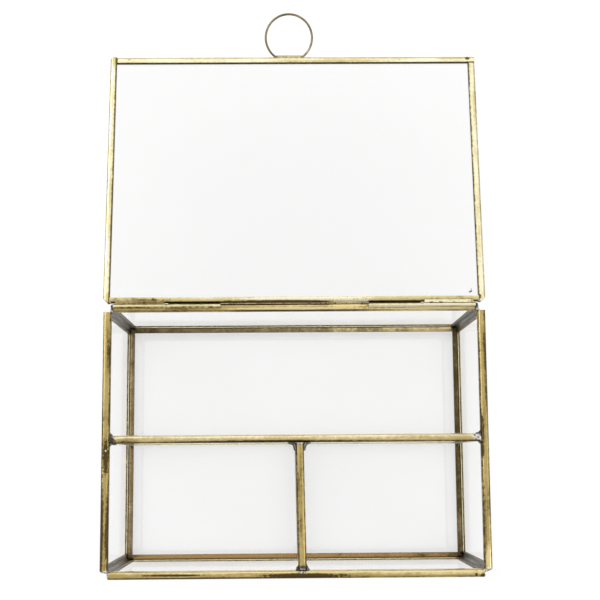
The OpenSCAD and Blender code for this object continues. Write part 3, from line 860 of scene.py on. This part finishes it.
# The lid's drops are given by place and radius. They lie in its upper face, and those on its
# pane are sunk below it.
LID_DROPS = (
    ((86.9, 64.2, 0.7), (88.4, 64.9, 0.6)), ((88.9, 66.0, 0.45),), ((86.3, 65.6, 0.5),),
    ((-86.6, 64.3, 0.55), (-87.6, 65.2, 0.5)),
    ((63.4, 63.5, 0.35), (65.2, 63.5, 0.3)), ((68.2, 63.6, 0.4), (69.4, 63.5, 0.35)),
    ((71.4, 63.6, 0.35),), ((74.6, 63.5, 0.35), (75.6, 63.6, 0.3)), ((79.0, 63.5, 0.35),),
    ((88.4, 187.3, 0.5), (89.2, 186.3, 0.45)), ((-86.9, 187.3, 0.4), (-86.9, 185.4, 0.35)),
)
PANE_SPLASH = (((82.7, 68.3, 0.4), (83.5, 68.7, 0.35)), ((83.4, 69.6, 0.25),))
PANE_SUNK = 0.55


def on_lid(strokes, sunk=0.0):
    """Strokes of (x, y, radius), with the height that puts them in the lid's upper face."""
    lean = math.radians(LID_LEAN)
    return [
        [(x, y, (LID_TOP - sunk - r - y * math.sin(lean)) / math.cos(lean), r) for x, y, r in row]
        for row in strokes
    ]


class JEWELRY_OT_solder(bpy.types.Operator):
    """Finish the solder at the corners, the dividers, the hinges and the ring"""

    bl_idname = "jewelry.solder"
    bl_label = "Solder"

    def execute(self, context):
        look = context.scene.jewelry_solder
        bright = solder_material("solder", look.light, look.dark)
        dull = solder_material("dull_solder", look.tin, look.tin_dark, dullness=0.62)
        finish_nodes(nodes_of("solder"), dull)
        tin = solder_material("tin", look.tin, look.tin_dark, stretch=0.06)
        finish_nodes(["corner_solder"], tin)
        gilt = solder_material("gilt_solder", look.gilt, look.gilt_dark, dullness=0.42)
        finish_nodes(["pull_solder"], gilt)
        # Painted shade: the bead along the lid's hinge rail is dark brown brass for the shade in
        # the gap between lid and rim; its spots paint a highlight at the right and a shadow line
        # along its edge towards the rim.
        bead = brass_material(
            "hinge_lid_solder", "X", from_line(1, HINGE_SOLDER_Y), shine=0.4, stains_and_highlights=BEAD_SHADE_AND_HIGHLIGHTS,
            bright=look.bead_bright, middle=look.bead_middle, dark=look.bead_dark,
        )
        finish_nodes(["hinge_lid_solder"], bead)
        # Painted light: the seam lies in the shade of the gap between lid and rim, so its colours
        # are lighter than its solder would be, and a spot right of the middle lights it further.
        golden = brass_material(
            "hinge_seam", "X", from_line(1, HINGE_SOLDER_Y), shine=0.6, stains_and_highlights=SEAM_PAINTED_LIGHT,
            bright=look.seam_bright, middle=look.seam_middle, dark=look.seam_dark,
        )
        solder_drops("hinge_seam", "lid", [HINGE_SEAM], golden)
        solder_drops("joint_drops", "box", JOINT_DROPS, dull)
        solder_drops("divider_drops", "box", DIVIDER_DROPS, bright)
        solder_drops("corner_drops", "box", CORNER_DROPS, bright)
        solder_drops("lid_drops", "lid", on_lid(LID_DROPS), bright)
        solder_drops("pane_splash", "lid", on_lid(PANE_SPLASH, PANE_SUNK), dull)
        return {"FINISHED"}


class JEWELRY_OT_stage(bpy.types.Operator):
    """Set the floor, the light and the camera"""

    bl_idname = "jewelry.stage"
    bl_label = "Stage"

    def execute(self, context):
        make_floor(context.scene)
        make_light(context.scene)
        make_camera(context.scene)
        return {"FINISHED"}


def make_floor(scene):
    """A pale floor that shows white where nothing shades it."""
    look = scene.jewelry_stage
    mesh = bpy.data.meshes.new("floor")
    half = look.floor_side / 2
    level = CAD_BOUNDS[0][2] - look.floor_gap
    square = ((-half, -half), (half, -half), (half, half), (-half, half))
    corners = [(x, y, level) for x, y in square]
    mesh.from_pydata(corners, [], [(0, 1, 2, 3)])
    floor = bpy.data.objects.new("floor", mesh)
    scene.collection.objects.link(floor)
    material, tree, surface = new_material("floor_paint")
    path = tree.add("LightPath").outputs
    seen = tree.math("MAXIMUM", path["Is Camera Ray"], path["Is Glossy Ray"])
    seen = tree.math("MAXIMUM", seen, path["Is Transmission Ray"])
    paint = tree.add("BsdfDiffuse", Color=look.floor)
    shown = tree.math("MULTIPLY", seen, look.floor_glow)
    glow = tree.add("Emission", Color=(1, 1, 1), Strength=shown)
    both = tree.add("AddShader")
    tree.put(both.inputs[0], paint.outputs[0])
    tree.put(both.inputs[1], glow.outputs[0])
    tree.put(surface, both.outputs[0])
    mesh.materials.append(material)


LAMPS = (
    # name, place, aim, size, power in watts
    ("key", (-2.0, 0.9, 1.6), (0, 0.06, 0), 2.2, 16.0),
    ("fill", (1.9, -0.8, 1.4), (0, 0.06, 0), 1.8, 9.0),
)
# Brightness of the world by the sine of the height above the horizon, and how much brighter it
# is behind the box than at its sides
WORLD_BANDS = ((0.0, 0.15), (0.18, 0.3), (0.45, 0.8), (0.7, 1.0), (0.93, 0.95), (1.0, 0.88))
WORLD_BACK = 0.3


def make_light(scene):
    """Broad lamps and a world with a dark horizon, so plain that colours show as written."""
    for name, place, aim, side, watts in LAMPS:
        data = bpy.data.lights.new(name, "AREA")
        data.shape = "DISK"
        data.size = side
        data.energy = watts
        lamp = bpy.data.objects.new(name, data)
        lamp.location = place
        lamp.rotation_mode = "QUATERNION"
        lamp.rotation_quaternion = (Vector(aim) - Vector(place)).to_track_quat("-Z", "Y")
        scene.collection.objects.link(lamp)
    world = bpy.data.worlds.new("studio")
    world.use_nodes = True
    world.node_tree.nodes.clear()
    tree = Tree(world.node_tree)
    direction = tree.add("SeparateXYZ", Vector=tree.add("TexCoord").outputs["Generated"]).outputs
    grey = tree.bands(direction["Z"], [(place, (level,) * 3) for place, level in WORLD_BANDS])
    back = tree.math("ADD", tree.math("MULTIPLY", direction["Y"], WORLD_BACK), 1.0)
    background = tree.add("Background", Color=grey, Strength=back)
    output = tree.add("OutputWorld")
    tree.put(output.inputs["Surface"], background.outputs[0])
    scene.world = world


# The camera: where it is in millimetres, its turn in radians and its focal length in pixels
CAMERA_PLACE = (-3.952, -11.568, 624.673)
CAMERA_PITCH = -0.137
CAMERA_YAW = 0.0116
CAMERA_ROLL = 0.0057
CAMERA_FOCAL = 1188.48
IMAGE_SIDE = 600  # pixels
SENSOR = 36.0  # millimetres


def make_camera(scene):
    """The camera, which looks down on the open box."""
    data = bpy.data.cameras.new("camera")
    data.sensor_width = SENSOR
    data.sensor_fit = "HORIZONTAL"
    data.lens = CAMERA_FOCAL / IMAGE_SIDE * SENSOR
    data.clip_start = 0.01
    data.clip_end = 100.0
    camera = bpy.data.objects.new("camera", data)
    to_camera = (
        Matrix.Rotation(CAMERA_ROLL, 3, "Z")
        @ Matrix.Rotation(CAMERA_YAW, 3, "Y")
        @ Matrix.Rotation(CAMERA_PITCH, 3, "X")
    )
    place = Matrix.Translation(Vector(CAMERA_PLACE) * MM)
    camera.matrix_world = place @ to_camera.transposed().to_4x4()
    scene.collection.objects.link(camera)
    scene.camera = camera


class JEWELRY_PT_panel(bpy.types.Panel):
    """The box's pieces and their looks"""

    bl_idname = "JEWELRY_PT_panel"
    bl_label = "Jewelry Box"
    bl_space_type = "VIEW_3D"
    bl_region_type = "UI"
    bl_category = "Jewelry Box"

    def draw(self, context):
        for name, _ in LOOKS:
            look = getattr(context.scene, name)
            box = self.layout.box()
            for field in look.__annotations__:
                box.prop(look, field)
        for operator in OPERATORS:
            self.layout.operator(operator.bl_idname)


LOOKS = (
    ("jewelry_glass", GlassLook),
    ("jewelry_brass", BrassLook),
    ("jewelry_solder", SolderLook),
    ("jewelry_stage", StageLook),
)
OPERATORS = (
    JEWELRY_OT_stage,
    JEWELRY_OT_glass,
    JEWELRY_OT_walls,
    JEWELRY_OT_base,
    JEWELRY_OT_dividers,
    JEWELRY_OT_lid,
    JEWELRY_OT_hinges,
    JEWELRY_OT_pull,
    JEWELRY_OT_solder,
)


def register():
    for name, look in LOOKS:
        bpy.utils.register_class(look)
        setattr(bpy.types.Scene, name, bpy.props.PointerProperty(type=look))
    for operator in OPERATORS:
        bpy.utils.register_class(operator)
    bpy.utils.register_class(JEWELRY_PT_panel)


def unregister():
    bpy.utils.unregister_class(JEWELRY_PT_panel)
    for operator in reversed(OPERATORS):
        bpy.utils.unregister_class(operator)
    for name, look in reversed(LOOKS):
        delattr(bpy.types.Scene, name)
        bpy.utils.unregister_class(look)


def main():
    register()
    bpy.context.scene.view_settings.view_transform = "Standard"
    for operator in OPERATORS:
        family, name = operator.bl_idname.split(".")
        getattr(getattr(bpy.ops, family), name)()


if __name__ == "__main__":
    main()
